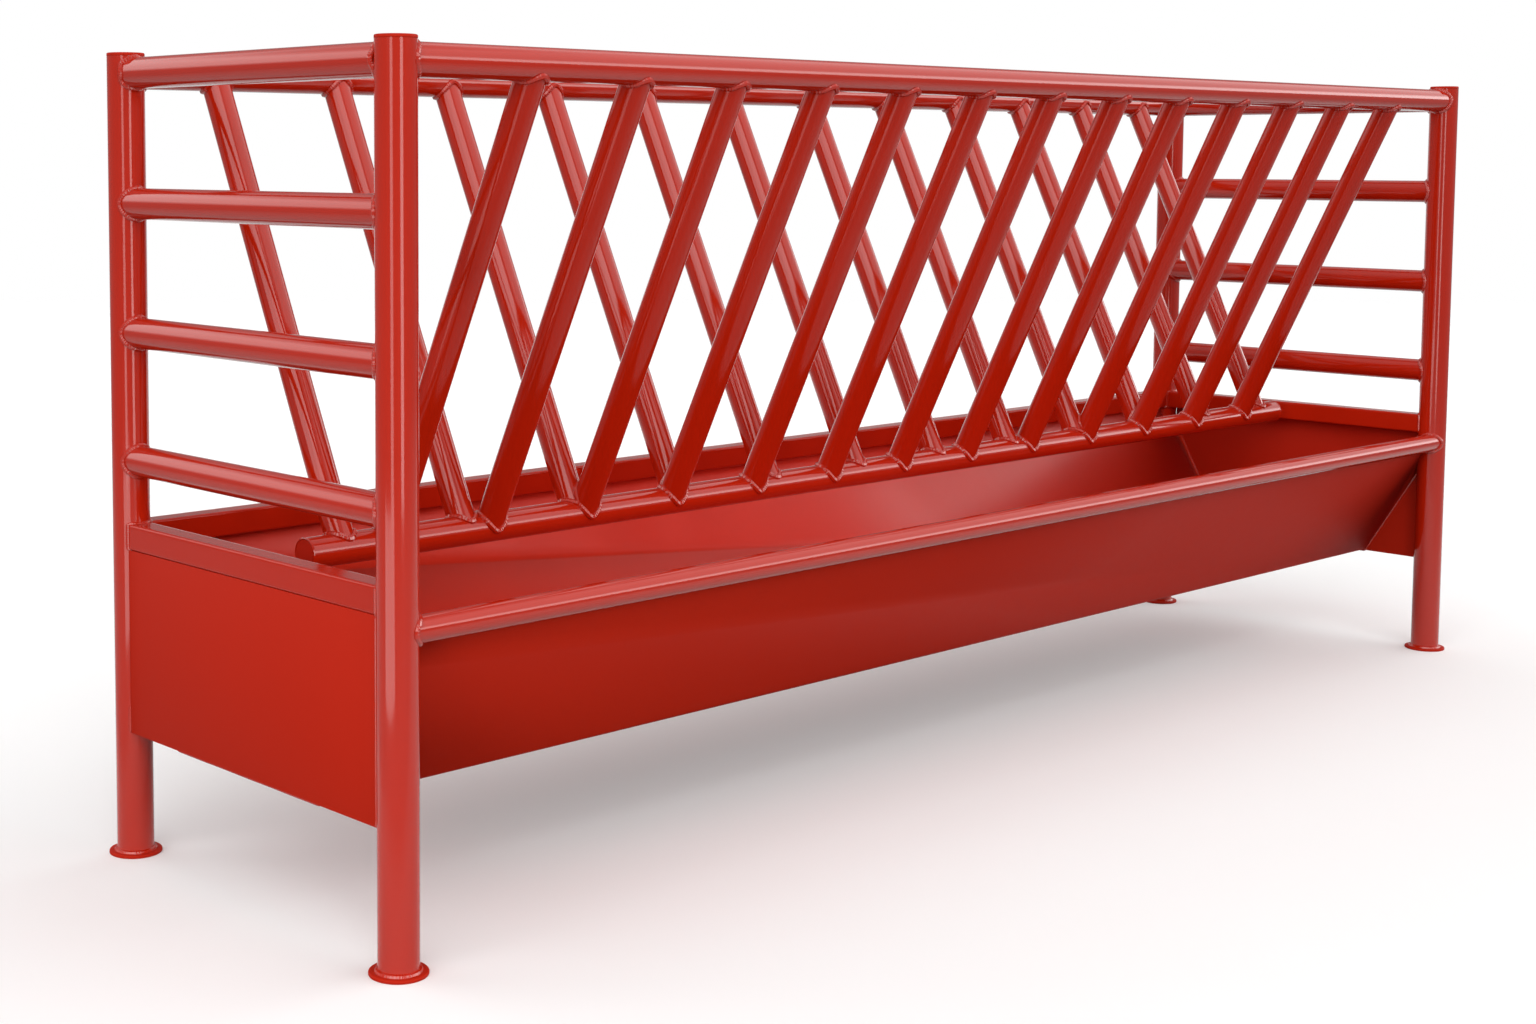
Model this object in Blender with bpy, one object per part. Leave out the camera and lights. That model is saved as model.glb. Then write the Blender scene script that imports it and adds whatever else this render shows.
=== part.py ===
"""Double-sided livestock hay feeder: a V rack of welded round tube over a folded sheet trough.

Metres, +Z up. The origin lies on the ground under the middle of the feeder. The long side runs
along X, the near side with the round trough rim faces -Y, and the ends face -X and +X.
"""
import math

import bmesh
import bpy
from mathutils import Matrix, Vector

# Frame: four round posts, length and width between their axes
FRAME_LENGTH = 3.680
FRAME_WIDTH = 0.850
FEEDER_HEIGHT = 1.580
POST_DIAMETER = 0.073
POST_WALL = 0.003
CAP_THICKNESS = 0.006
CAP_EDGE_RADIUS = 0.0025
FOOT_DIAMETER = 0.104
FOOT_THICKNESS = 0.006
FOOT_EDGE_RADIUS = 0.0015

# Round rails between the posts
RAIL_DIAMETER = 0.0603
RAIL_WALL = 0.003
TOP_RAIL_DROP = 0.040
LOWER_END_RAILS = 3
LOWEST_RAIL_CLEARANCE = 0.093

# Hay rack: two rows of bars that slant down to one centre rail
CENTRE_RAIL_RISE = 0.006
CENTRE_RAIL_END_SPACE = 0.088
PLUG_THICKNESS = 0.004
BAR_DIAMETER = 0.057
BAR_WALL = 0.003
FRONT_BARS = 13
FRONT_BAR_END_SPACE = 0.304
BACK_BARS = 12
BACK_BAR_END_SPACE = 0.201

# Trough: square bars at the ends and the back, a round rim in front, one folded sheet
SQUARE_SIZE = 0.050
SQUARE_WALL = 0.003
SQUARE_CORNER_RADIUS = 0.005
SQUARE_TOP_HEIGHT = 0.664
RIM_DIAMETER = 0.0483
RIM_WALL = 0.003
RIM_DROP = 0.076
RIM_OUTSET = 0.010
TROUGH_BOTTOM_HEIGHT = 0.250
TROUGH_FLOOR_WIDTH = 0.460
SHEET_THICKNESS = 0.003
FOLD_RADIUS = 0.012
END_PLATE_THICKNESS = 0.004

# Gap left for the weld where one piece meets another
FIT_GAP = 0.0003

# Smoothness of the round pieces
POST_SIDES = 24
RAIL_SIDES = 20
BAR_SIDES = 16
CORNER_STEPS = 2
SMOOTH_ANGLE = math.radians(35)

# Paint
RED_PAINT = (0.48, 0.022, 0.010, 1.0)
PAINT_ROUGHNESS = 0.28
PAINT_METALLIC = 0.0

# Places that follow from the sizes above, heights to the axes of the tubes
HALF_X = FRAME_LENGTH / 2
HALF_Y = FRAME_WIDTH / 2
SQUARE_HEIGHT = SQUARE_TOP_HEIGHT - SQUARE_SIZE / 2
SQUARE_UNDERSIDE = SQUARE_TOP_HEIGHT - SQUARE_SIZE
TOP_RAIL_HEIGHT = FEEDER_HEIGHT - TOP_RAIL_DROP
LOWEST_RAIL_HEIGHT = SQUARE_TOP_HEIGHT + LOWEST_RAIL_CLEARANCE + RAIL_DIAMETER / 2
END_RAIL_PITCH = (TOP_RAIL_HEIGHT - LOWEST_RAIL_HEIGHT) / LOWER_END_RAILS
CENTRE_RAIL_HEIGHT = SQUARE_HEIGHT + CENTRE_RAIL_RISE
RIM_HEIGHT = SQUARE_TOP_HEIGHT - RIM_DROP
SIDE_SIGNS = {"left": -1, "right": 1, "front": -1, "back": 1}


def clear_scene():
    for old in list(bpy.data.objects):
        bpy.data.objects.remove(old, do_unlink=True)


def group(name, parent=None):
    empty = bpy.data.objects.new(name, None)
    bpy.context.collection.objects.link(empty)
    empty.parent = parent
    return empty


def paint(name):
    material = bpy.data.materials.new(name + "_paint")
    material.use_nodes = True
    shader = material.node_tree.nodes["Principled BSDF"]
    shader.inputs["Base Color"].default_value = RED_PAINT
    shader.inputs["Roughness"].default_value = PAINT_ROUGHNESS
    shader.inputs["Metallic"].default_value = PAINT_METALLIC
    return material


def add_part(name, shape, parent, place=Matrix()):
    """Turn a finished bmesh into a named, painted object at its place."""
    bmesh.ops.recalc_face_normals(shape, faces=shape.faces)
    mesh = bpy.data.meshes.new(name)
    shape.to_mesh(mesh)
    shape.free()
    mesh.shade_smooth()
    mesh.set_sharp_from_angle(angle=SMOOTH_ANGLE)
    mesh.materials.append(paint(name))
    part = bpy.data.objects.new(name, mesh)
    bpy.context.collection.objects.link(part)
    part.parent = parent
    part.location = place.to_translation()
    part.rotation_mode = "QUATERNION"
    part.rotation_quaternion = place.to_quaternion()
    return part


def cut(part, cutters):
    for cutter in cutters:
        boolean = part.modifiers.new("cope_" + cutter.name, "BOOLEAN")
        boolean.operation = "DIFFERENCE"
        boolean.solver = "EXACT"
        boolean.object = cutter


def along(start, end):
    """Place that sets local Z on the line from start to end."""
    line = Vector(end) - Vector(start)
    return Matrix.Translation(start) @ line.to_track_quat("Z", "Y").to_matrix().to_4x4()


def rod(length, diameter, sides):
    shape = bmesh.new()
    bmesh.ops.create_circle(shape, cap_ends=True, segments=sides, radius=diameter / 2)
    raise_profile(shape, length)
    return shape


def raise_profile(shape, height):
    """Extrude the flat profile straight up into a closed solid."""
    profile = list(shape.faces)
    raised = bmesh.ops.extrude_face_region(shape, geom=profile, use_keep_orig=True)
    moved = [item for item in raised["geom"] if isinstance(item, bmesh.types.BMVert)]
    bmesh.ops.translate(shape, verts=moved, vec=(0, 0, height))


def open_middle(shape, wall):
    """Leave only a rim of the flat profile, as wide as the tube's wall."""
    middle = list(shape.faces)
    bmesh.ops.inset_region(shape, faces=middle, thickness=wall, use_boundary=True,
                           use_even_offset=True)
    bmesh.ops.delete(shape, geom=middle, context="FACES")


def round_tube(length, diameter, wall, sides):
    shape = bmesh.new()
    bmesh.ops.create_circle(shape, cap_ends=True, segments=sides, radius=diameter / 2)
    open_middle(shape, wall)
    raise_profile(shape, length)
    return shape


def square_tube(length):
    shape = bmesh.new()
    bmesh.ops.create_grid(shape, x_segments=1, y_segments=1, size=SQUARE_SIZE / 2)
    bmesh.ops.bevel(shape, geom=list(shape.verts), offset=SQUARE_CORNER_RADIUS, affect="VERTICES",
                    segments=CORNER_STEPS, profile=0.5, material=-1)
    open_middle(shape, SQUARE_WALL)
    raise_profile(shape, length)
    return shape


def disc(thickness, diameter, edge_radius, sides, rounded_top_only):
    """Flat round plate with a rounded rim."""
    shape = rod(thickness, diameter, sides)
    rims = [edge for edge in shape.edges if edge.verts[0].co.z == edge.verts[1].co.z]
    if rounded_top_only:
        rims = [edge for edge in rims if edge.verts[0].co.z > thickness / 2]
    bmesh.ops.bevel(shape, geom=rims, offset=edge_radius, affect="EDGES",
                    segments=CORNER_STEPS, profile=0.5, material=-1)
    return shape


def cutter_for(name, start, end, diameter, sides, parent):
    """Guide that is one fit gap fatter than a round piece, for coping what meets that piece."""
    length = (Vector(end) - Vector(start)).length
    guide = add_part("cut_" + name, rod(length, diameter + 2 * FIT_GAP, sides), parent, along(start, end))
    guide.hide_render = True
    guide.display_type = "WIRE"
    return guide


def post_place(side, end):
    return SIDE_SIGNS[end] * HALF_X, SIDE_SIGNS[side] * HALF_Y


def build_posts(frame):
    """Four posts, each a tube with a welded cap on top and a round plate underfoot."""
    cutters = {}
    for side in ("front", "back"):
        for end in ("left", "right"):
            corner = side + "_" + end
            x, y = post_place(side, end)
            foot_top = FOOT_THICKNESS + FIT_GAP
            cap_bottom = FEEDER_HEIGHT - CAP_THICKNESS
            length = cap_bottom - FIT_GAP - foot_top
            add_part("foot_plate_" + corner,
                     disc(FOOT_THICKNESS, FOOT_DIAMETER, FOOT_EDGE_RADIUS, POST_SIDES, False),
                     frame, Matrix.Translation((x, y, 0)))
            add_part("post_" + corner, round_tube(length, POST_DIAMETER, POST_WALL, POST_SIDES),
                     frame, along((x, y, foot_top), (x, y, cap_bottom)))
            add_part("post_cap_" + corner,
                     disc(CAP_THICKNESS, POST_DIAMETER, CAP_EDGE_RADIUS, POST_SIDES, True),
                     frame, Matrix.Translation((x, y, cap_bottom)))
            cutters[corner] = cutter_for("post_" + corner, (x, y, 0), (x, y, FEEDER_HEIGHT),
                                         POST_DIAMETER, POST_SIDES, frame)
    return cutters


def long_rail_line(side):
    y = SIDE_SIGNS[side] * HALF_Y
    return (-HALF_X, y, TOP_RAIL_HEIGHT), (HALF_X, y, TOP_RAIL_HEIGHT)


def build_long_top_rails(frame, posts):
    """Front and back top rails, saddled onto the posts."""
    cutters = {}
    for side in ("front", "back"):
        start, end = long_rail_line(side)
        rail = add_part(side + "_top_rail",
                        round_tube(FRAME_LENGTH, RAIL_DIAMETER, RAIL_WALL, RAIL_SIDES),
                        frame, along(start, end))
        cut(rail, [posts[side + "_left"], posts[side + "_right"]])
        cutters[side] = cutter_for(side + "_top_rail", start, end, RAIL_DIAMETER, RAIL_SIDES, frame)
    return cutters


def build_end_rails(frame, posts, top_rails):
    """Four rails across each end. The top one is also fitted round the long top rails."""
    for end in ("left", "right"):
        x = SIDE_SIGNS[end] * HALF_X
        for step in range(LOWER_END_RAILS + 1):
            z = TOP_RAIL_HEIGHT - step * END_RAIL_PITCH
            name = end + ("_end_rail_%d" % step if step else "_end_top_rail")
            rail = add_part(name, round_tube(FRAME_WIDTH, RAIL_DIAMETER, RAIL_WALL, RAIL_SIDES),
                            frame, along((x, -HALF_Y, z), (x, HALF_Y, z)))
            cut(rail, [posts["front_" + end], posts["back_" + end]])
            if abs(TOP_RAIL_HEIGHT - z) < RAIL_DIAMETER + FIT_GAP:
                cut(rail, [top_rails["front"], top_rails["back"]])


def build_centre_rail(rack):
    """Rail at the foot of the V. It hangs on the rack bars, short of the end bars, and is plugged."""
    reach = HALF_X - SQUARE_SIZE / 2 - CENTRE_RAIL_END_SPACE
    bore = RAIL_DIAMETER - 2 * RAIL_WALL
    z = CENTRE_RAIL_HEIGHT
    add_part("centre_rail", round_tube(2 * reach, RAIL_DIAMETER, RAIL_WALL, RAIL_SIDES),
             rack, along((-reach, 0, z), (reach, 0, z)))
    for end in ("left", "right"):
        outer = SIDE_SIGNS[end] * reach
        inner = outer - SIDE_SIGNS[end] * PLUG_THICKNESS
        add_part("centre_rail_plug_" + end,
                 rod(PLUG_THICKNESS, bore - 2 * FIT_GAP, RAIL_SIDES),
                 rack, along((inner, 0, z), (outer, 0, z)))
    return cutter_for("centre_rail", (-HALF_X, 0, z), (HALF_X, 0, z), RAIL_DIAMETER, RAIL_SIDES, rack)


def bar_positions(count, end_space):
    first = -HALF_X + end_space
    pitch = (FRAME_LENGTH - 2 * end_space) / (count - 1)
    return [first + index * pitch for index in range(count)]


def bar_line(side, x):
    return (x, 0, CENTRE_RAIL_HEIGHT), (x, SIDE_SIGNS[side] * HALF_Y, TOP_RAIL_HEIGHT)


def build_bars(rack, centre_rail, top_rails):
    """Rack bars with fish-mouth ends on both rails.

    The two rows are spaced differently, so some feet share a place on the centre rail. There the
    back bar is notched round the front bar as well.
    """
    length = math.hypot(HALF_Y, TOP_RAIL_HEIGHT - CENTRE_RAIL_HEIGHT)
    front_places = bar_positions(FRONT_BARS, FRONT_BAR_END_SPACE)
    rows = (("front", front_places), ("back", bar_positions(BACK_BARS, BACK_BAR_END_SPACE)))
    for side, places in rows:
        for number, x in enumerate(places, start=1):
            name = "%s_bar_%02d" % (side, number)
            start, end = bar_line(side, x)
            bar = add_part(name, round_tube(length, BAR_DIAMETER, BAR_WALL, BAR_SIDES),
                           rack, along(start, end))
            cut(bar, [centre_rail, top_rails[side]])
            if side == "front":
                continue
            for neighbour in front_places:
                if abs(neighbour - x) < BAR_DIAMETER + FIT_GAP:
                    front_start, front_end = bar_line("front", neighbour)
                    cut(bar, [cutter_for("foot_of_" + name, front_start, front_end,
                                         BAR_DIAMETER, BAR_SIDES, rack)])


def build_square_bars(trough, posts):
    """Square tube round the ends and the back of the trough, coped onto the posts."""
    for end in ("left", "right"):
        x = SIDE_SIGNS[end] * HALF_X
        bar = add_part(end + "_end_bar", square_tube(FRAME_WIDTH), trough,
                       along((x, -HALF_Y, SQUARE_HEIGHT), (x, HALF_Y, SQUARE_HEIGHT)))
        cut(bar, [posts["front_" + end], posts["back_" + end]])
    bar = add_part("trough_back_rim", square_tube(FRAME_LENGTH), trough,
                   along((-HALF_X, HALF_Y, SQUARE_HEIGHT), (HALF_X, HALF_Y, SQUARE_HEIGHT)))
    cut(bar, [posts["back_left"], posts["back_right"]])


def build_front_rim(trough, posts):
    """Round rim of the trough, set a little outward on the front posts."""
    y = -HALF_Y - RIM_OUTSET
    rim = add_part("trough_front_rim",
                   round_tube(FRAME_LENGTH, RIM_DIAMETER, RIM_WALL, RAIL_SIDES),
                   trough, along((-HALF_X, y, RIM_HEIGHT), (HALF_X, y, RIM_HEIGHT)))
    cut(rim, [posts["front_left"], posts["front_right"]])


def build_end_plates(trough, posts):
    """Flat plate under each end bar, flush with the bar's outer face and trimmed to the posts."""
    height = SQUARE_UNDERSIDE - FIT_GAP - TROUGH_BOTTOM_HEIGHT
    for end in ("left", "right"):
        x = SIDE_SIGNS[end] * (HALF_X + SQUARE_SIZE / 2 - END_PLATE_THICKNESS / 2)
        shape = bmesh.new()
        bmesh.ops.create_cube(shape, size=1)
        bmesh.ops.scale(shape, verts=shape.verts, vec=(END_PLATE_THICKNESS, FRAME_WIDTH, height))
        plate = add_part(end + "_end_plate", shape, trough,
                         Matrix.Translation((x, 0, TROUGH_BOTTOM_HEIGHT + height / 2)))
        cut(plate, [posts["front_" + end], posts["back_" + end]])


def front_sheet_top():
    """Outer top edge of the front sheet: it aims at the rim's axis and stops one gap short of it."""
    fold = Vector((-TROUGH_FLOOR_WIDTH / 2, TROUGH_BOTTOM_HEIGHT))
    axis = Vector((-HALF_Y - RIM_OUTSET, RIM_HEIGHT))
    line = axis - fold
    return fold + line * (1 - (RIM_DIAMETER / 2 + FIT_GAP) / line.length)


def back_sheet_top():
    """Outer top edge of the back sheet, under the middle of the square back rim."""
    fold = Vector((TROUGH_FLOOR_WIDTH / 2, TROUGH_BOTTOM_HEIGHT))
    seat = Vector((HALF_Y, SQUARE_UNDERSIDE - FIT_GAP))
    line = (seat - fold).normalized()
    return seat - line * (SHEET_THICKNESS * line.x / line.y)


def build_trough(trough, posts):
    """One sheet folded twice along its length, notched round the posts at its four corners."""
    reach = HALF_X + SQUARE_SIZE / 2 - END_PLATE_THICKNESS - FIT_GAP
    half_floor = TROUGH_FLOOR_WIDTH / 2
    front, back = front_sheet_top(), back_sheet_top()
    section = (front, (-half_floor, TROUGH_BOTTOM_HEIGHT), (half_floor, TROUGH_BOTTOM_HEIGHT), back)
    shape = bmesh.new()
    corners = [shape.verts.new((-reach, y, z)) for y, z in section]
    outline = [shape.edges.new(pair) for pair in zip(corners, corners[1:])]
    spread = bmesh.ops.extrude_edge_only(shape, edges=outline)
    moved = [item for item in spread["geom"] if isinstance(item, bmesh.types.BMVert)]
    bmesh.ops.translate(shape, verts=moved, vec=(2 * reach, 0, 0))
    folds = [edge for edge in shape.edges if len(edge.link_faces) == 2]
    bmesh.ops.bevel(shape, geom=folds, offset=FOLD_RADIUS, affect="EDGES",
                    segments=CORNER_STEPS, profile=0.5, material=-1)
    sheet = add_part("trough_shell", shape, trough)
    if sheet.data.polygons[0].normal.z > 0:
        sheet.data.flip_normals()
    wall = sheet.modifiers.new("sheet", "SOLIDIFY")
    wall.thickness = SHEET_THICKNESS
    wall.offset = -1
    wall.use_even_offset = True
    cut(sheet, posts.values())


def build_feeder():
    clear_scene()
    feeder = group("hay_feeder")
    frame, rack, trough = (group(name, feeder) for name in ("frame_group", "rack_group", "trough_group"))
    posts = build_posts(frame)
    top_rails = build_long_top_rails(frame, posts)
    build_end_rails(frame, posts, top_rails)
    centre_rail = build_centre_rail(rack)
    build_bars(rack, centre_rail, top_rails)
    build_square_bars(trough, posts)
    build_front_rim(trough, posts)
    build_end_plates(trough, posts)
    build_trough(trough, posts)


build_feeder()
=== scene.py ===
import math

import bmesh
import bpy
from mathutils import Matrix, Vector


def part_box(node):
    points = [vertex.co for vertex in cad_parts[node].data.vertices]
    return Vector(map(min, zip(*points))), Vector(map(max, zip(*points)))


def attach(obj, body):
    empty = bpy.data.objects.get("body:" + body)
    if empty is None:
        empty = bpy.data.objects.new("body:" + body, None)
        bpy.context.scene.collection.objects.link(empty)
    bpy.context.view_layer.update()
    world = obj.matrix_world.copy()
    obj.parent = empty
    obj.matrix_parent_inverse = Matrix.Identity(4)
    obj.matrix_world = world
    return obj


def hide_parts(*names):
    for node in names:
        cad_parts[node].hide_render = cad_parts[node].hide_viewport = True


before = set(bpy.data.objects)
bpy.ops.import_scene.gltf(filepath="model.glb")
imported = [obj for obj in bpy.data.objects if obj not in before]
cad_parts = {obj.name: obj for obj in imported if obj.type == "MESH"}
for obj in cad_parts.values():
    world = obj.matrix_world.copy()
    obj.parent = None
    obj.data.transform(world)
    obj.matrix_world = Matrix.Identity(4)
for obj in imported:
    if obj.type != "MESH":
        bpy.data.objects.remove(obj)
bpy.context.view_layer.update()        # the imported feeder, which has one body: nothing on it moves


# Camera
# The picture was taken 3.5 metres from the near left corner, with the lens a little below the top
# rail. The feeder stands to one side of the lens's axis, and the shift brings it into the picture.
EYE = Vector((-4.003, -3.201, 1.378))
TURN_TO_THE_RIGHT = math.radians(41.30)
TILT_DOWN = math.radians(4.59)
ROLL = math.radians(-0.09)
LENS_LENGTH = 49.92
SHIFT_ACROSS = 0.160
SHIFT_UP = -0.119
lens = bpy.data.cameras.new("view")
lens.lens = LENS_LENGTH
lens.shift_x = SHIFT_ACROSS
lens.shift_y = SHIFT_UP
camera = bpy.data.objects.new("view", lens)
camera.location = EYE
camera.rotation_euler = (math.pi / 2 - TILT_DOWN, ROLL, -TURN_TO_THE_RIGHT)
bpy.context.scene.collection.objects.link(camera)
bpy.context.scene.camera = camera


# Floor
# White paper with soft edges lies under the feeder and runs up to a white backdrop. Round it lies a
# pale grey floor that fades out into the studio. Places on the floor are in metres from the middle
# of the feeder, along the camera's view and across it.
PAPER_NEAR = -1.85
PAPER_FAR = 11.0
PAPER_LEFT = -2.25
PAPER_LEFT_SPLAY = 0.25
PAPER_RIGHT = 1.70
PAPER_RIGHT_SPLAY = 0.48
PAPER_FADE = 0.6
PAPER_FAR_FADE = 5.0
PAPER_RIGHT_FADE = 2.5
FLOOR_FULL = 3.0
FLOOR_END = 8.5
FLOOR_WIDE = 12.0
FLOOR_TONE = (0.63, 0.63, 0.63, 1)
PAPER_TONE = (0.99, 0.99, 0.99, 1)
PAPER_TONE_WORN = (0.98, 0.98, 0.975, 1)
PAPER_GRAIN = 3.0
FLOOR_BOUNCE = (0.19, 0.19, 0.19, 1)


class Signal:
    """A socket in a material. Arithmetic on it adds Math nodes."""

    def __init__(self, tree, socket=None):
        self.tree = tree
        self.socket = socket

    def node(self, kind, inputs=None, output=0, **settings):
        """Adds a node, then its settings, then its sockets' values or links."""
        made = self.tree.nodes.new("ShaderNode" + kind)
        for setting, value in settings.items():
            setattr(made, setting, value)
        for name, value in (inputs or {}).items():
            if isinstance(value, Signal):
                self.tree.links.new(value.socket, made.inputs[name])
            else:
                made.inputs[name].default_value = value
        return Signal(self.tree, made.outputs[output] if made.outputs else None)

    def __add__(self, other):
        return self.node("Math", {0: self, 1: other}, operation="ADD")

    def __sub__(self, other):
        return self.node("Math", {0: self, 1: other}, operation="SUBTRACT")

    def __rsub__(self, other):
        return self.node("Math", {0: other, 1: self}, operation="SUBTRACT")

    def __mul__(self, other):
        return self.node("Math", {0: self, 1: other}, operation="MULTIPLY")

    __radd__ = __add__
    __rmul__ = __mul__


def blank_material(name):
    material = bpy.data.materials.new(name)
    material.use_nodes = True
    material.node_tree.nodes.clear()
    return material, Signal(material.node_tree)


def rise(value, low, high):
    """Smooth step from 0 to 1 while the value goes from low to high."""
    return value.node("MapRange", {0: value, 1: low, 2: high}, interpolation_type="SMOOTHSTEP")


def blend(share, first, second):
    """Colour that turns from the first into the second while the share goes from 0 to 1."""
    return share.node("Mix", {0: share, 6: first, 7: second}, 2, data_type="RGBA")


def set_down(name, shape):
    """Makes an object of a finished bmesh and puts it into the scene."""
    mesh = bpy.data.meshes.new(name)
    shape.to_mesh(mesh)
    shape.free()
    thing = bpy.data.objects.new(name, mesh)
    bpy.context.scene.collection.objects.link(thing)
    return thing


floor_paper, wire = blank_material("floor_paper")
here = wire.node("TexCoord", output="Object")
across = wire.node("SeparateXYZ", {0: here}, output="X")
along = wire.node("SeparateXYZ", {0: here}, output="Y")
from_left = rise(across + along * PAPER_LEFT_SPLAY, PAPER_LEFT - PAPER_FADE, PAPER_LEFT)
past_right = rise(across - along * PAPER_RIGHT_SPLAY, PAPER_RIGHT, PAPER_RIGHT + PAPER_RIGHT_FADE)
from_near = rise(along, PAPER_NEAR - PAPER_FADE, PAPER_NEAR)
past_far = rise(along, PAPER_FAR, PAPER_FAR + PAPER_FAR_FADE)
on_paper = from_left * (1 - past_right) * from_near
from_middle = wire.node("VectorMath", {0: here}, "Value", operation="LENGTH")
off_floor = rise(from_middle, FLOOR_FULL, FLOOR_END)
laid = (1 - past_far) * (1 - (1 - on_paper) * off_floor)
grain = wire.node("TexNoise", {"Vector": here, "Scale": PAPER_GRAIN})
own_tone = blend(on_paper, FLOOR_TONE, blend(grain, PAPER_TONE, PAPER_TONE_WORN))
to_camera = wire.node("LightPath", output="Is Camera Ray")
mirrored = wire.node("LightPath", output="Is Glossy Ray")
through = wire.node("LightPath", output="Is Transmission Ray")
# The lens and the gloss see the floor's own tone, and the light that it throws back is that of a
# darker floor.
seen_tone = blend(to_camera + mirrored + through, FLOOR_BOUNCE, own_tone)
paper = wire.node("MixShader", {0: laid, 1: wire.node("BsdfTransparent"),
                                2: wire.node("BsdfDiffuse", {"Color": seen_tone})})
wire.node("OutputMaterial", {"Surface": paper})

paper_end = PAPER_FAR + PAPER_FAR_FADE
shape = bmesh.new()
bmesh.ops.create_grid(shape, x_segments=1, y_segments=1, size=0.5)
bmesh.ops.scale(shape, vec=(2 * FLOOR_WIDE, FLOOR_END + paper_end, 1), verts=shape.verts)
bmesh.ops.translate(shape, vec=(0, (paper_end - FLOOR_END) / 2, 0), verts=shape.verts)
studio_floor = set_down("studio_floor", shape)
studio_floor.data.materials.append(floor_paper)
studio_floor.rotation_euler.z = -TURN_TO_THE_RIGHT


# Studio round the feeder
# Grey all round, with a white backdrop beyond the feeder, a lit wall on each side and two round
# lights high up behind the camera. All of it is set by direction, and 1 is white.
AHEAD_WAY = (0.660, 0.751, 0.0)
RIGHT_WAY = (0.751, -0.660, 0.0)
BACK_LIGHT_WAY = (-0.555, -0.589, 0.588)
SIDE_LIGHT_WAY = (-0.898, -0.170, 0.407)
STUDIO_GREY = 0.36
BACKDROP = 1.0
AHEAD_HIGH = 0.28
ROOM_HIGH = 0.60
CEILING = 0.70
RIGHT_WALL = 1.5
RIGHT_WALL_LOW = 4.5
LEFT_WALL = 0.75
LEFT_WALL_BAND = 2.3
BACK_LIGHT = 3.2
SIDE_LIGHT = 2.6
# Each edge is the share of a way, or the height, at which one tone starts to turn into the next,
# and that at which it has.
BACKDROP_EDGE = (0.80, 0.86)
AHEAD_EDGE = (0.60, 0.75)
WALLS_AHEAD_EDGE = (0.66, 0.76)
RIGHT_WALL_EDGE = (0.0, 0.1)
RIGHT_WALL_BACK_EDGE = (-0.60, -0.50)
LEFT_WALL_EDGE = (-0.1, 0.0)
LEFT_WALL_BACK_EDGE = (-0.05, 0.02)
HORIZON_EDGE = (0.075, 0.125)
BAND_FOOT_EDGE = (0.10, 0.24)
BAND_HEAD_EDGE = (0.48, 0.60)
RIGHT_WALL_LOW_EDGE = (0.22, 0.36)
ROOM_HIGH_EDGE = (0.40, 0.60)
CEILING_EDGE = (0.70, 0.80)
LIGHT_EDGE = (0.935, 0.950)
surround = bpy.data.worlds.new("surround")
surround.use_nodes = True
surround.node_tree.nodes.clear()
wire = Signal(surround.node_tree)
heading = wire.node("TexCoord", output="Generated")
height = wire.node("SeparateXYZ", {0: heading}, output="Z")


def share_along(way):
    """How far the heading points along a way, from -1 to 1."""
    return wire.node("VectorMath", {0: heading, 1: way}, "Value", operation="DOT_PRODUCT")


def lay_over(base, share, tone):
    """Strength that turns from the base into the tone while the share goes from 0 to 1."""
    return base + share * (tone - base)


ahead = share_along(AHEAD_WAY)
right = share_along(RIGHT_WAY)
beside = 1 - rise(ahead, *WALLS_AHEAD_EDGE)
right_wall = rise(right, *RIGHT_WALL_EDGE) * rise(ahead, *RIGHT_WALL_BACK_EDGE) * beside
left_wall = (1 - rise(right, *LEFT_WALL_EDGE)) * rise(ahead, *LEFT_WALL_BACK_EDGE) * beside
band = rise(height, *BAND_FOOT_EDGE) * (1 - rise(height, *BAND_HEAD_EDGE))
left_tone = lay_over(LEFT_WALL, band, LEFT_WALL_BAND)
right_tone = lay_over(RIGHT_WALL_LOW, rise(height, *RIGHT_WALL_LOW_EDGE), RIGHT_WALL)
below = lay_over(STUDIO_GREY, rise(ahead, *BACKDROP_EDGE), BACKDROP)
strength = lay_over(STUDIO_GREY, rise(ahead, *AHEAD_EDGE), AHEAD_HIGH)
strength = lay_over(strength, rise(height, *ROOM_HIGH_EDGE), ROOM_HIGH)
strength = lay_over(strength, right_wall, right_tone)
strength = lay_over(strength, left_wall, left_tone)
strength = lay_over(strength, rise(height, *CEILING_EDGE), CEILING)
strength = lay_over(below, rise(height, *HORIZON_EDGE), strength)
strength = lay_over(strength, rise(share_along(SIDE_LIGHT_WAY), *LIGHT_EDGE), SIDE_LIGHT)
strength = lay_over(strength, rise(share_along(BACK_LIGHT_WAY), *LIGHT_EDGE), BACK_LIGHT)
sky = wire.node("Background", {"Color": (1, 1, 1, 1), "Strength": strength})
wire.node("OutputWorld", {"Surface": sky})
bpy.context.scene.world = surround
bpy.context.scene.view_settings.view_transform = "Standard"


# Soft boxes
# Two standing soft boxes make the streaks on the posts, and a low one those on the rack. They light
# the feeder and not the floor, where they would draw a bright line.
NEAR_POST = (-1.84, -0.42, 1.5)
RACK_MIDDLE = (-0.80, -0.25, 1.10)
off_the_boxes = bpy.data.collections.new("off_the_boxes")
off_the_boxes.objects.link(studio_floor)
off_the_boxes.collection_objects[0].light_linking.link_state = "EXCLUDE"


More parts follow.
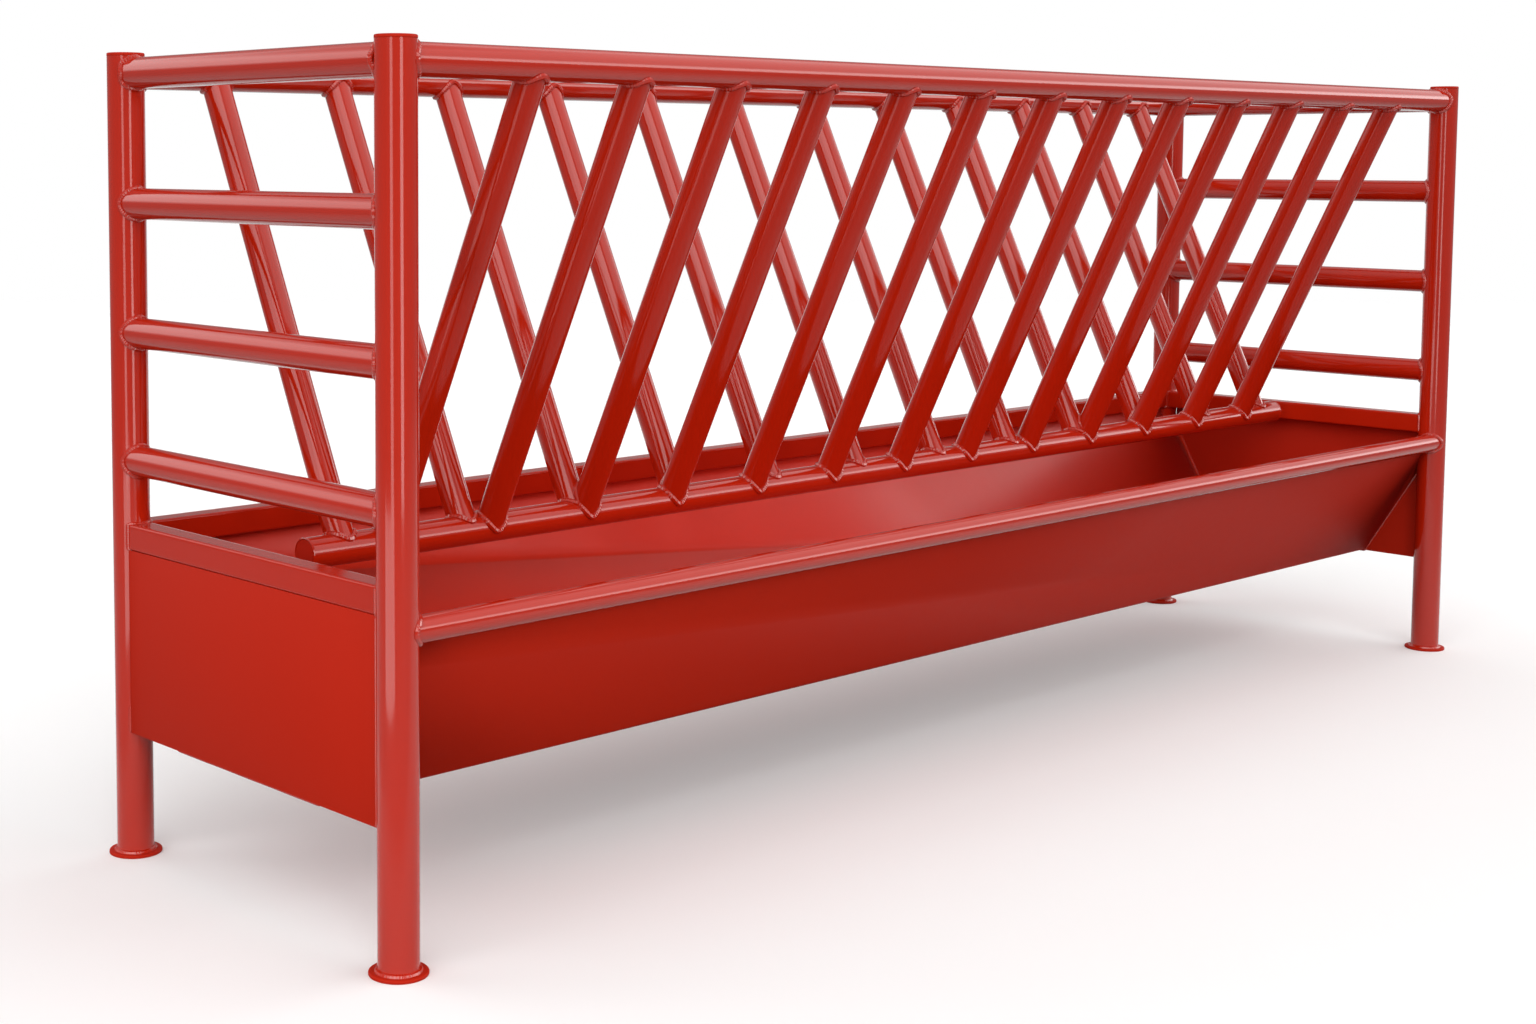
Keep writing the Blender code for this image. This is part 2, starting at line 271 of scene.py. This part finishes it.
def soft_box(name, place, aim, width, height, brightness):
    """Lamp turned to face the aim. Its brightness is that of its cloth, where 1 is white."""
    lamp = bpy.data.lights.new(name, "AREA")
    lamp.shape = "RECTANGLE"
    lamp.size = width
    lamp.size_y = height
    lamp.energy = brightness * math.pi * width * height
    box = bpy.data.objects.new(name, lamp)
    box.location = place
    box.rotation_euler = (Vector(aim) - Vector(place)).to_track_quat("-Z", "Y").to_euler()
    box.visible_camera = False
    box.light_linking.receiver_collection = off_the_boxes
    bpy.context.scene.collection.objects.link(box)


soft_box("left_box", (-5.86, -2.45, 1.5), NEAR_POST, width=1.1, height=2.9, brightness=3.0)
soft_box("right_box", (-2.56, -4.87, 1.5), NEAR_POST, width=1.2, height=2.9, brightness=4.2)
soft_box("low_board", (-3.50, -0.75, 0.26), RACK_MIDDLE, width=1.6, height=0.5, brightness=2.5)


# Posts
# Four round steel tubes, 73 mm across, with a flat cap welded on the top and a round plate welded
# underneath. The whole feeder was welded first and then sprayed in gloss red. All its tubes have
# walls of 3 mm.
TUBE_WALL = 0.003
TUBE_SIDES = 64
SHARP_ANGLE = math.radians(35)
RED = (0.400, 0.0112, 0.0012)
PALER_RED = (0.440, 0.0140, 0.0028)
PAINT_IOR = 1.50
GLINT_TONE = (1.0, 0.96, 0.94, 1.0)
# Each pattern in the paint has a count of grains to the metre and a fineness.
CLOUD = (2.2, 3.0)
MOTTLE = (38.0, 2.0)
ORANGE_PEEL = (210.0, 1.0)
TUBE_MARKS = (120.0, 2.0)
SWAY = (4.0, 1.0)
MARK_STRETCH = (1.0, 1.0, 0.02)
MARK_DEPTH = 0.016
MARK_SHIFTS = (3.1, 7.7, 5.3, 1.7)
CLOUD_SHARE = 0.7
CLOUD_ROUGH = 0.05
MOTTLE_ROUGH = 0.04
MILLIMETRE = 0.001


def red_paint(name, drawn, peel=0.007, sway=0.10, rough=0.05, shine=0.52, painted_light_gain=1.0):
    """Sprayed paint, which shows the marks of a drawn tube. Its bumps are in millimetres."""
    material, wire = blank_material(name)

    def pattern(place, grains, fineness):
        return wire.node("TexNoise", {"Vector": place, "Scale": grains, "Detail": fineness})

    if drawn:
        here = wire.node("Attribute", output="Vector", attribute_name="drawn")
    else:
        here = wire.node("TexCoord", output="Object")
    cloud = pattern(here, *CLOUD)
    mottle = pattern(here, *MOTTLE)
    # A gain above 1 makes a paler copy of the same paint: painted light on faces that the lamps
    # leave darker.
    deep = (*(part * painted_light_gain for part in RED), 1)
    pale = (*(part * painted_light_gain for part in PALER_RED), 1)
    pigment = blend(cloud * CLOUD_SHARE + mottle * (1 - CLOUD_SHARE), deep, pale)
    dullness = rough + cloud * CLOUD_ROUGH + mottle * MOTTLE_ROUGH
    depth = pattern(here, *ORANGE_PEEL) * peel
    if drawn:
        long_way = wire.node("Mapping", {"Vector": here, "Scale": MARK_STRETCH})
        depth = depth + pattern(long_way, *TUBE_MARKS) * MARK_DEPTH
    depth = depth + pattern(here, *SWAY) * sway
    relief = wire.node("Bump", {"Height": depth, "Distance": MILLIMETRE, "Strength": 1.0})
    paint = wire.node("BsdfPrincipled", {"Base Color": pigment, "Roughness": dullness,
                                         "Normal": relief, "IOR": PAINT_IOR,
                                         "Specular IOR Level": shine,
                                         "Specular Tint": GLINT_TONE})
    wire.node("OutputMaterial", {"Surface": paint})
    return material


tube_paint = red_paint("red_paint_on_tube", drawn=True)


def keep(name, shape, paint, node=None):
    """Makes a finished bmesh a piece of the feeder, in place of the CAD node named."""
    bmesh.ops.recalc_face_normals(shape, faces=shape.faces)
    piece = set_down(name, shape)
    piece.data.shade_smooth()
    piece.data.set_sharp_from_angle(angle=SHARP_ANGLE)
    piece.data.materials.append(paint)
    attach(piece, "root")
    if node:
        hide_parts(node)
    return piece


def way_out(point, heading, hosts):
    """How far a line runs from a point before it has left every host that it starts in.

    A host is a round tube that another one sits on: its start, its end and its diameter."""
    depth = 0.0
    for host_start, host_end, host_diameter in hosts:
        axis = (host_end - host_start).normalized()
        offset = point - host_start
        offset -= axis * offset.dot(axis)
        across = heading - axis * heading.dot(axis)
        half_b = offset.dot(across)
        rest = offset.length_squared - (host_diameter / 2) ** 2
        inside = half_b ** 2 - across.length_squared * rest
        if inside > 0:
            depth = max(depth, (math.sqrt(inside) - half_b) / across.length_squared)
    return depth


def verts_made(made):
    """The vertices among all that an operator has made."""
    return [item for item in made["geom"] if isinstance(item, bmesh.types.BMVert)]


def tube_frame(start, end):
    """A tube's own frame, with its origin at the tube's start and its Z along the tube."""
    return Matrix.Translation(start) @ (end - start).to_track_quat("Z", "Y").to_matrix().to_4x4()


def stretch_between(shape, start, end, start_hosts, end_hosts):
    """Raises a flat profile into a tube from start to end, each end shaped to sit on its hosts."""
    heading = (end - start).normalized()
    far = verts_made(bmesh.ops.extrude_face_region(shape, geom=shape.faces[:], use_keep_orig=True))
    near = list(set(shape.verts) - set(far))
    bmesh.ops.transform(shape, matrix=tube_frame(start, end), verts=shape.verts)
    bmesh.ops.translate(shape, vec=end - start, verts=far)
    for vert in near:
        vert.co += heading * way_out(vert.co, heading, start_hosts)
    for vert in far:
        vert.co -= heading * way_out(vert.co, -heading, end_hosts)


def mark_drawn(piece, start, end):
    """Stores each point's place in the tube's own frame, so that marks run along the tube.

    A shift that depends on the tube's start gives each tube another part of the pattern."""
    to_own = tube_frame(start, end).inverted()
    drawn = piece.data.attributes.new("drawn", "FLOAT_VECTOR", "POINT")
    by_x, by_y, by_z, along_by_x = MARK_SHIFTS
    shift = Vector((start.x * by_x + start.y * by_y, start.z * by_z, start.x * along_by_x))
    for vert, stored in zip(piece.data.vertices, drawn.data):
        stored.vector = to_own @ vert.co + shift


def round_tube(name, start, end, diameter, start_hosts, end_hosts, node, paint=tube_paint):
    """Round tube between two points on the axes of its hosts, fish-mouthed to fit them."""
    shape = bmesh.new()
    bmesh.ops.create_circle(shape, segments=TUBE_SIDES, radius=diameter / 2)
    bmesh.ops.create_circle(shape, segments=TUBE_SIDES, radius=diameter / 2 - TUBE_WALL)
    bmesh.ops.bridge_loops(shape, edges=shape.edges[:])
    stretch_between(shape, start, end, start_hosts, end_hosts)
    mark_drawn(keep(name, shape, paint, node), start, end)


CORNERS = [side + "_" + end for side in ("front", "back") for end in ("left", "right")]
posts = {}
for corner in CORNERS:
    low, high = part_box("post_" + corner)
    middle = (low + high) / 2
    foot = Vector((middle.x, middle.y, low.z))
    head = Vector((middle.x, middle.y, high.z))
    diameter = high.x - low.x
    posts[corner] = (foot, head, diameter)
    round_tube(corner + "_post_tube", foot, head, diameter, [], [], "post_" + corner)


# Post caps
# A flat steel disc welded on the top of each post and as wide as the post. Its upper edge is
# rounded, and its lower edge hardly.
CAP_EDGE = 0.0028
CAP_LOWER_EDGE = 0.0006
EDGE_STEPS = 5
SAME_HEIGHT = 1e-6
plate_paint = red_paint("red_paint_on_plate", drawn=False, sway=0.25, rough=0.62, shine=0.12)


def round_off(shape, edges, radius, steps):
    bmesh.ops.bevel(shape, geom=edges, offset=radius, affect="EDGES", segments=steps,
                    profile=0.5, material=-1)


def disc(name, centre, diameter, thickness, upper_edge, lower_edge, node):
    """Round plate with rounded edges, its underside at the centre given."""
    shape = bmesh.new()
    bmesh.ops.create_circle(shape, cap_ends=True, segments=TUBE_SIDES, radius=diameter / 2)
    top = verts_made(bmesh.ops.extrude_face_region(shape, geom=shape.faces[:], use_keep_orig=True))
    bmesh.ops.translate(shape, vec=(0, 0, thickness), verts=top)
    for height, radius in ((thickness, upper_edge), (0.0, lower_edge)):
        rim = [edge for edge in shape.edges
               if all(abs(vert.co.z - height) < SAME_HEIGHT for vert in edge.verts)]
        round_off(shape, rim, radius, EDGE_STEPS)
    bmesh.ops.translate(shape, vec=centre, verts=shape.verts)
    keep(name, shape, plate_paint, node)


for corner in CORNERS:
    low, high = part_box("post_cap_" + corner)
    foot, head, diameter = posts[corner]
    disc(corner + "_cap_disc", Vector((head.x, head.y, low.z)), diameter, high.z - low.z,
         CAP_EDGE, CAP_LOWER_EDGE, "post_cap_" + corner)


# Foot plates
# A round steel plate under each post, 104 mm across and 6 mm thick, for the feeder to stand on. A
# rippled weld runs all round the foot of the post.
FOOT_EDGE = 0.0022
FOOT_LOWER_EDGE = 0.0008
FOOT_WELD = 0.0055
BEAD_STEP = 0.0014
BEAD_ROUNDNESS = 2
BEAD_TIP = 0.35
BEAD_SWELL = 0.08
SLOW_SWELLS = 3
QUICK_SWELLS = 5
RIPPLE_PITCH = 0.0046
RIPPLE_DEPTH = 0.07
bead_paint = red_paint("red_paint_on_weld", drawn=False, peel=0.02, sway=0.2, shine=0.7)


def weld(name, paths, size, closed=True):
    """Lays a rippled bead along each path. An open bead thins out at its two ends."""
    bead = bpy.data.curves.new(name, "CURVE")
    bead.dimensions = "3D"
    bead.bevel_depth = size
    bead.bevel_resolution = BEAD_ROUNDNESS
    bead.use_fill_caps = not closed
    for path in paths:
        steps = [(b - a).length for a, b in zip(path, path[1:] + path[:1])]
        total = sum(steps) if closed else sum(steps[:-1])
        ripples = max(1, round(total / RIPPLE_PITCH))
        spline = bead.splines.new("POLY")
        spline.points.add(len(path) - 1)
        spline.use_cyclic_u = closed
        travelled = 0.0
        for point, place, step in zip(spline.points, path, steps):
            share = travelled / total
            ripple = math.sin(share * ripples * 2 * math.pi)
            swell = (math.sin(share * SLOW_SWELLS * 2 * math.pi + len(path))
                     * math.sin(share * QUICK_SWELLS * 2 * math.pi))
            from_tip = min(share, 1 - share) * total / (2 * size)
            full = 1.0 if closed else min(1.0, BEAD_TIP + from_tip)
            point.co = (*place, 1)
            point.radius = full * (1 + RIPPLE_DEPTH * ripple + BEAD_SWELL * swell)
            travelled += step
    laid = bpy.data.objects.new(name + "_curve", bead)
    mesh = bpy.data.meshes.new_from_object(laid)
    bpy.data.objects.remove(laid)
    shape = bmesh.new()
    shape.from_mesh(mesh)
    bpy.data.meshes.remove(mesh)
    keep(name, shape, bead_paint)


def ring_path(centre, heading, diameter, hosts):
    """Line on which a round tube meets the hosts at its end."""
    count = round(math.pi * diameter / BEAD_STEP)
    turn = heading.to_track_quat("Z", "Y").to_matrix()
    points = []
    for number in range(count):
        angle = 2 * math.pi * number / count
        spot = centre + turn @ Vector((math.cos(angle), math.sin(angle), 0)) * (diameter / 2)
        points.append(spot + heading * way_out(spot, heading, hosts))
    return points


foot_rings = []
for corner in CORNERS:
    low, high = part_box("foot_plate_" + corner)
    foot, head, diameter = posts[corner]
    disc(corner + "_foot_disc", Vector((foot.x, foot.y, low.z)), high.x - low.x, high.z - low.z,
         FOOT_EDGE, FOOT_LOWER_EDGE, "foot_plate_" + corner)
    foot_rings.append(ring_path(foot, Vector((0, 0, 1)), diameter, []))
weld("foot_welds", foot_rings, FOOT_WELD)


# Top rails
# Round tube, 60.3 mm across, coped onto the posts and welded all round. The two long ones carry
# the rack, and the end ones are fitted round them as well.
RAIL_DIAMETER = 0.0603
RAIL_WELD = 0.0055


def joined_tube(name, start, end, diameter, start_hosts, end_hosts, rings, node):
    """Round tube between its hosts, with its two weld rings added to the list of rings."""
    round_tube(name, start, end, diameter, start_hosts, end_hosts, node)
    heading = (end - start).normalized()
    rings.append(ring_path(start, heading, diameter, start_hosts))
    rings.append(ring_path(end, -heading, diameter, end_hosts))


def middle_of(node):
    low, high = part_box(node)
    return (low + high) / 2


def on_post(corner, height):
    """Point on a post's axis at a height above the ground."""
    foot = posts[corner][0]
    return Vector((foot.x, foot.y, height))


top_rail_rings = []
top_rails = {}
for side in ("front", "back"):
    left, right = side + "_left", side + "_right"
    node = side + "_top_rail"
    height = middle_of(node).z
    start, end = on_post(left, height), on_post(right, height)
    top_rails[side] = (start, end, RAIL_DIAMETER)
    joined_tube(side + "_top_tube", start, end, RAIL_DIAMETER, [posts[left]], [posts[right]],
                top_rail_rings, node)
for end_name in ("left", "right"):
    front, back = "front_" + end_name, "back_" + end_name
    node = end_name + "_end_top_rail"
    height = middle_of(node).z
    joined_tube(end_name + "_end_top_tube", on_post(front, height), on_post(back, height),
                RAIL_DIAMETER, [posts[front], top_rails["front"]], [posts[back], top_rails["back"]],
                top_rail_rings, node)
weld("top_rail_welds", top_rail_rings, RAIL_WELD)


# Lower end rails
# Three more rails of the same tube across each end, evenly spaced. They are coped onto the posts
# and welded all round, as the top rails are.
LOWER_RAILS = 3
end_rail_rings = []
for end_name in ("left", "right"):
    front, back = "front_" + end_name, "back_" + end_name
    for number in range(1, LOWER_RAILS + 1):
        node = "%s_end_rail_%d" % (end_name, number)
        height = middle_of(node).z
        joined_tube("%s_end_tube_%d" % (end_name, number), on_post(front, height),
                    on_post(back, height), RAIL_DIAMETER, [posts[front]], [posts[back]],
                    end_rail_rings, node)
weld("end_rail_welds", end_rail_rings, RAIL_WELD)


# Centre rail
# Round tube along the foot of the V. It hangs on the rack bars and stops short of the end bars.
# A flat plug closes each end, with a small weld round it.
PLUG_WELD = 0.0022
PLUG_WELD_SETBACK = 0.6


def solid_rod(start, end, diameter):
    """Bmesh of a closed cylinder between two points."""
    shape = bmesh.new()
    bmesh.ops.create_circle(shape, cap_ends=True, segments=TUBE_SIDES, radius=diameter / 2)
    stretch_between(shape, start, end, [], [])
    return shape


low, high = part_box("centre_rail")
height = (low.z + high.z) / 2
left_tip = Vector((low.x, 0, height))
right_tip = Vector((high.x, 0, height))
centre_rail = (left_tip, right_tip, RAIL_DIAMETER)
round_tube("centre_rail_tube", left_tip, right_tip, RAIL_DIAMETER, [], [], "centre_rail")
plug_rings = []
for end_name, tip, outward in (("left", left_tip, Vector((-1, 0, 0))),
                               ("right", right_tip, Vector((1, 0, 0)))):
    node = "centre_rail_plug_" + end_name
    low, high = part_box(node)
    plug = solid_rod(tip - outward * (high.x - low.x), tip, high.y - low.y)
    keep(end_name + "_plug_disc", plug, plate_paint, node)
    plug_rings.append(ring_path(tip - outward * PLUG_WELD * PLUG_WELD_SETBACK, outward,
                                RAIL_DIAMETER - PLUG_WELD, []))
weld("plug_welds", plug_rings, PLUG_WELD)


# Rack bars
# Thirteen bars in front and twelve behind, of 57 mm tube, fish-mouthed onto the centre rail and the
# top rails. Where two feet meet, the back bar is notched round the front one. The front bars have
# less gloss than the other round tubes.
BAR_DIAMETER = 0.057
BAR_WELD = 0.0062
FRONT_BARS = 13
BACK_BARS = 12
dull_paint = red_paint("red_paint_dulled", drawn=True, rough=0.10, shine=0.24)
front_bars = []
for side, count, paint in (("front", FRONT_BARS, dull_paint), ("back", BACK_BARS, tube_paint)):
    bar_foot_rings = []
    bar_head_rings = []
    rail = top_rails[side]
    for number in range(1, count + 1):
        node = "%s_bar_%02d" % (side, number)
        x = middle_of(node).x
        foot = Vector((x, 0, centre_rail[0].z))
        head = Vector((x, rail[0].y, rail[0].z))
        foot_hosts = [centre_rail]
        if side == "front":
            front_bars.append((foot, head, BAR_DIAMETER))
        else:
            foot_hosts += [bar for bar in front_bars if abs(bar[0].x - x) < BAR_DIAMETER]
        round_tube("%s_rack_tube_%02d" % (side, number), foot, head, BAR_DIAMETER,
                   foot_hosts, [rail], node, paint)
        heading = (head - foot).normalized()
        bar_foot_rings.append(ring_path(foot, heading, BAR_DIAMETER, foot_hosts))
        bar_head_rings.append(ring_path(head, -heading, BAR_DIAMETER, [rail]))
    weld(side + "_bar_foot_welds", bar_foot_rings, BAR_WELD)
    weld(side + "_bar_head_welds", bar_head_rings, BAR_WELD)


# End bars and back rim of the trough
# Square tube, 50 mm, with rolled corners, coped onto the posts and as dull as the front bars. The
# end bars lie over the end plates, and the back rim lies along the top of the back sheet.
SQUARE_SIZE = 0.050
SQUARE_CORNER = 0.0045
SQUARE_WELD = 0.0040
SIDE_CUTS = 9
ARC_STEPS = 6


def square_tube(name, start, end, start_hosts, end_hosts, node):
    """Square tube with rolled corners between two posts, its ends coped onto them."""
    shape = bmesh.new()
    bmesh.ops.create_grid(shape, x_segments=1, y_segments=1, size=SQUARE_SIZE / 2)
    bmesh.ops.bevel(shape, geom=shape.verts[:], offset=SQUARE_CORNER, affect="VERTICES",
                    segments=EDGE_STEPS, profile=0.5, material=-1)
    sides = [edge for edge in shape.edges if edge.calc_length() > SQUARE_SIZE / 2]
    bmesh.ops.subdivide_edges(shape, edges=sides, cuts=SIDE_CUTS)
    middle = shape.faces[:]
    bmesh.ops.inset_region(shape, faces=middle, thickness=TUBE_WALL, use_boundary=True,
                           use_even_offset=True)
    bmesh.ops.delete(shape, geom=middle, context="FACES")
    stretch_between(shape, start, end, start_hosts, end_hosts)
    mark_drawn(keep(name, shape, dull_paint, node), start, end)


def square_path(centre, heading, hosts):
    """Line on which a square tube meets the post at its end."""
    half = SQUARE_SIZE / 2
    flat = half - SQUARE_CORNER
    count = round(2 * flat / BEAD_STEP)
    quarter = [Vector((half, -flat + 2 * flat * step / count, 0)) for step in range(count)]
    for step in range(ARC_STEPS):
        angle = math.radians(90 / ARC_STEPS * step)
        quarter.append(Vector((flat + SQUARE_CORNER * math.cos(angle),
                               flat + SQUARE_CORNER * math.sin(angle), 0)))
    turn = heading.to_track_quat("Z", "Y").to_matrix()
    spots = []
    for number in range(4):
        spin = Matrix.Rotation(number * math.pi / 2, 3, "Z")
        spots += [centre + turn @ spin @ spot for spot in quarter]
    return [spot + heading * way_out(spot, heading, hosts) for spot in spots]


square_rings = []
for name, node, first, second in (
        ("left_end_square", "left_end_bar", "front_left", "back_left"),
        ("right_end_square", "right_end_bar", "front_right", "back_right"),
        ("back_rim_square", "trough_back_rim", "back_left", "back_right")):
    height = middle_of(node).z
    start, end = on_post(first, height), on_post(second, height)
    heading = (end - start).normalized()
    square_tube(name, start, end, [posts[first]], [posts[second]], node)
    square_rings.append(square_path(start, heading, [posts[first]]))
    square_rings.append(square_path(end, -heading, [posts[second]]))
weld("square_tube_welds", square_rings, SQUARE_WELD)


# Front rim of the trough
# Round tube, 48.3 mm across, along the top of the front sheet. It is set a little outside the
# posts' middle, coped onto them and welded all round.
RIM_DIAMETER = 0.0483
rim_middle = middle_of("trough_front_rim")
rim_start = Vector((posts["front_left"][0].x, rim_middle.y, rim_middle.z))
rim_end = Vector((posts["front_right"][0].x, rim_middle.y, rim_middle.z))
rim_rings = []
joined_tube("front_rim_tube", rim_start, rim_end, RIM_DIAMETER, [posts["front_left"]],
            [posts["front_right"]], rim_rings, "trough_front_rim")
weld("front_rim_welds", rim_rings, RAIL_WELD)


# End plates
# A flat 4 mm plate under each end bar, flush with the bar's outer face. It is welded to the front
# post over its whole height and only tacked to the back post, where a narrow gap shows.
PLATE_EDGE = 0.0008
PLATE_EDGE_STEPS = 2
PLATE_GAP = 0.0016
PLATE_WELD = 0.0032
TACK_LENGTH = 0.055
TACK_STEPS = 40
for end_name in ("left", "right"):
    node = end_name + "_end_plate"
    low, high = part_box(node)
    middle = (low + high) / 2
    face = low.x if end_name == "left" else high.x
    shape = bmesh.new()
    bmesh.ops.create_cube(shape, size=1)
    bmesh.ops.scale(shape, vec=high - low, verts=shape.verts)
    bmesh.ops.translate(shape, vec=middle, verts=shape.verts)
    seats = {}
    for side, inward, gap in (("front", 1, 0.0), ("back", -1, PLATE_GAP)):
        post = posts[side + "_" + end_name]
        heading = Vector((0, inward, 0))
        for vert in shape.verts:
            if (vert.co.y - middle.y) * inward < 0:
                spot = Vector((vert.co.x, post[0].y, vert.co.z))
                vert.co.y = spot.y + inward * (way_out(spot, heading, [post]) + gap)
        outer = Vector((face, post[0].y, 0))
        seats[side] = outer.y + inward * way_out(outer, heading, [post])
    round_off(shape, shape.edges[:], PLATE_EDGE, PLATE_EDGE_STEPS)
    keep(end_name + "_plate_sheet", shape, plate_paint, node)
    tall = high.z - low.z
    count = round(tall / BEAD_STEP)
    long_bead = [Vector((face, seats["front"], low.z + tall * step / count))
                 for step in range(count + 1)]
    tack = [Vector((face, seats["back"], low.z + TACK_LENGTH * step / TACK_STEPS))
            for step in range(TACK_STEPS + 1)]
    weld(end_name + "_plate_welds", [long_bead, tack], PLATE_WELD, closed=False)


# Trough
# One 3 mm sheet, folded twice, whose walls rise from its flat floor to the two rims. It is notched
# round the posts and welded to the end plates on both its faces. The paint inside is glossier than
# that outside, and paler, which is painted light that brightens the inside faces.
SHEET = 0.003
FLOOR_HALF = 0.230
FOLD_RADIUS = 0.012
FOLD_STEPS = 8
SEAM_WELD = 0.0034
SEAM_ROUNDING = 12
# Paler copy of the sheet's paint for the inside faces: painted light that brightens them.
lit_inside_paint = red_paint("red_paint_lit_inside", drawn=False, sway=0.25, rough=0.36, shine=0.45,
                         painted_light_gain=1.6)
low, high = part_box("trough_shell")
front_fold = Vector((low.x, -FLOOR_HALF, low.z))
back_fold = Vector((low.x, FLOOR_HALF, low.z))
rim_axis = Vector((low.x, rim_middle.y, rim_middle.z))
front_top = rim_axis + (front_fold - rim_axis).normalized() * (RIM_DIAMETER / 2)
back_rim_underside = middle_of("trough_back_rim").z - SQUARE_SIZE / 2
back_top = Vector((low.x, posts["back_left"][0].y, back_rim_underside))
profile = (front_top, front_fold, back_fold, back_top)


def seam_path(x, depth):
    """Line across the trough at one end, at a depth into the sheet from its outer face."""
    ways = [(b - a).normalized() for a, b in zip(profile, profile[1:])]
    inward = [Vector((0, -way.z, way.y)) for way in ways]
    at_folds = [(a + b) / (1 + a.dot(b)) for a, b in zip(inward, inward[1:])]
    inward = [inward[0]] + at_folds + [inward[-1]]
    bends = [bend + normal * depth for bend, normal in zip(profile, inward)]
    points = []
    for a, b in zip(bends, bends[1:]):
        count = round((b - a).length / BEAD_STEP)
        points += [a.lerp(b, step / count) for step in range(count)]
    points.append(bends[-1])
    for _ in range(SEAM_ROUNDING):
        rounded = [(a + b + c) / 3 for a, b, c in zip(points, points[1:], points[2:])]
        points = [points[0]] + rounded + [points[-1]]
    return [Vector((x, point.y, point.z)) for point in points]


weld("trough_seam_welds", [seam_path(x, depth) for x in (low.x, high.x) for depth in (0.0, SHEET)],
     SEAM_WELD, closed=False)
shape = bmesh.new()
bends = [shape.verts.new(place) for place in profile]
outline = [shape.edges.new(pair) for pair in zip(bends, bends[1:])]
far = verts_made(bmesh.ops.extrude_edge_only(shape, edges=outline))
bmesh.ops.translate(shape, vec=(high.x - low.x, 0, 0), verts=far)
folds = [edge for edge in shape.edges if len(edge.link_faces) == 2]
round_off(shape, folds, FOLD_RADIUS, FOLD_STEPS)
sheet = keep("trough_sheet", shape, plate_paint, "trough_shell")
# The sheet faces outwards and downwards, and its thickness grows inwards from there.
if sheet.data.polygons[0].normal.z > 0:
    sheet.data.flip_normals()
wall = sheet.modifiers.new("wall", "SOLIDIFY")
wall.thickness = SHEET
wall.offset = -1
wall.use_even_offset = True
wall.material_offset = 1
sheet.data.materials.append(lit_inside_paint)
notchers = []
for corner in CORNERS:
    notcher = set_down("notcher", solid_rod(*posts[corner]))
    notchers.append(notcher)
    notch = sheet.modifiers.new("notch", "BOOLEAN")
    notch.operation = "DIFFERENCE"
    notch.solver = "EXACT"
    notch.object = notcher
bpy.context.view_layer.update()
notched = sheet.evaluated_get(bpy.context.evaluated_depsgraph_get())
finished = bpy.data.meshes.new_from_object(notched)
sheet.modifiers.clear()
sheet.data = finished
for notcher in notchers:
    bpy.data.objects.remove(notcher)
